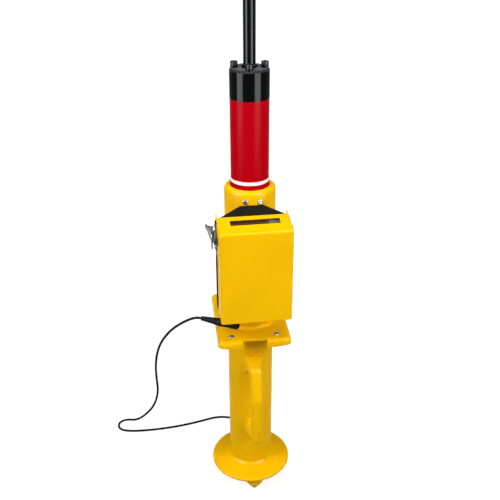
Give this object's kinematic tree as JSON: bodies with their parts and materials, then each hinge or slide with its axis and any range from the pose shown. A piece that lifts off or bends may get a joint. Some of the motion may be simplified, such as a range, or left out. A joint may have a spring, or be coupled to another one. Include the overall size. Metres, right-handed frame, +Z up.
{
  "type": "impact soil tester",
  "caption": "Drop-weight soil tester: a hand-lifted hammer on a rod runs in a spiked guide tube with a carrying handle, support plate and hinged readout box on a lead.",
  "frame": {"origin": "on the guide tube's axis, level with the tips of the ground spikes", "axes": "+Z up along the guide tube, -Y towards the front with the readout box and the carrying handle"},
  "size_m": [0.2751, 0.2659, 1.1435],
  "materials": {
    "yellow_paint": "gloss enamel",
    "red_paint": "gloss enamel",
    "white_mark": "matt",
    "black_anodised": "satin black anodised",
    "black_plastic": "matt black",
    "black_rubber": "matt black",
    "dark_steel": "blackened",
    "bright_screw": "bright plated",
    "latch_steel": "plated",
    "connector_metal": "nickel plated",
    "sensor_steel": "satin",
    "bare_aluminium": "satin",
    "circuit_board": "matt",
    "cell_sleeve": "gloss",
    "window_glass": "gloss, smoked",
    "dark_display": "gloss",
    "grey_display": "gloss"
  },
  "bodies": {
    "stand": {"handle_screws": "dark_steel", "plate_screws": "bright_screw", "hanger_screws": "bright_screw", "tray_screws": "bright_screw", "rear_hood": "black_plastic", "circuit_board": "circuit_board", "board_standoffs": "bare_aluminium", "board_chips": "black_plastic", "battery_holder": "black_plastic", "battery_cells": "cell_sleeve", "hinge_tray_leaf": "latch_steel", "hinge_pin": "latch_steel", "latch_base": "latch_steel", "latch_pin": "latch_steel", "latch_rivets": "dark_steel", "lead_socket": "connector_metal", "lead_plug": "black_plastic", "plug_boot": "black_rubber", "lead_cord": "black_rubber", "lead_coil": "black_rubber", "coil_tie": "black_plastic", "lead_connector": "connector_metal", "ground_spikes": "yellow_paint", "base_flange": "yellow_paint", "guide_tube": "yellow_paint", "guide_collar": "yellow_paint", "carry_handle": "yellow_paint", "support_plate": "yellow_paint", "plate_yoke": "yellow_paint", "hanger_saddle": "yellow_paint", "lower_spacer": "yellow_paint", "readout_tray": "yellow_paint"},
    "hammer": {"hammer_body": "red_paint", "drop_mark_ring": "white_mark", "hammer_cap": "black_anodised", "cap_spacers": "black_anodised", "cap_screws": "dark_steel", "accelerometer": "sensor_steel", "sensor_stud": "sensor_steel", "sensor_wire": "black_rubber", "handle_rod": "black_anodised", "rod_nut": "black_anodised", "handle_grip": "black_rubber", "grip_end_cap": "black_plastic", "handle_socket": "connector_metal"},
    "cover": {"readout_cover": "yellow_paint", "window_gasket": "black_rubber", "display_window": "window_glass", "value_display": "dark_display", "drop_display": "grey_display", "display_board": "circuit_board", "display_studs": "bare_aluminium", "hinge_cover_leaf": "latch_steel", "latch_keeper": "latch_steel"},
    "lever": {"latch_lever": "latch_steel"},
    "bail": {"latch_bail": "latch_steel"}
  },
  "joints": [
    {"name": "hammer_drop", "type": "slide", "parent": "stand", "child": "hammer", "axis": [0, 0, 1], "range_m": [-0.45, 0]},
    {"name": "cover_swing", "type": "hinge", "parent": "stand", "child": "cover", "pos_m": [0.047, -0.049, 0.397], "axis": [0, 0, 1], "range_deg": [0, 100]},
    {"name": "latch_lever_swing", "type": "hinge", "parent": "stand", "child": "lever", "pos_m": [-0.0547, -0.0441, 0.441], "axis": [0, 0, 1], "range_deg": [-7, 100]},
    {"name": "latch_bail_swing", "type": "hinge", "parent": "lever", "child": "bail", "pos_m": [-0.05581, -0.03618, 0.441], "axis": [0, 0, 1], "range_deg": [-100, 7]}
  ],
  "couplings": [
    {"joint": "latch_bail_swing", "follows": "latch_lever_swing", "ratio": -1}
  ]
}
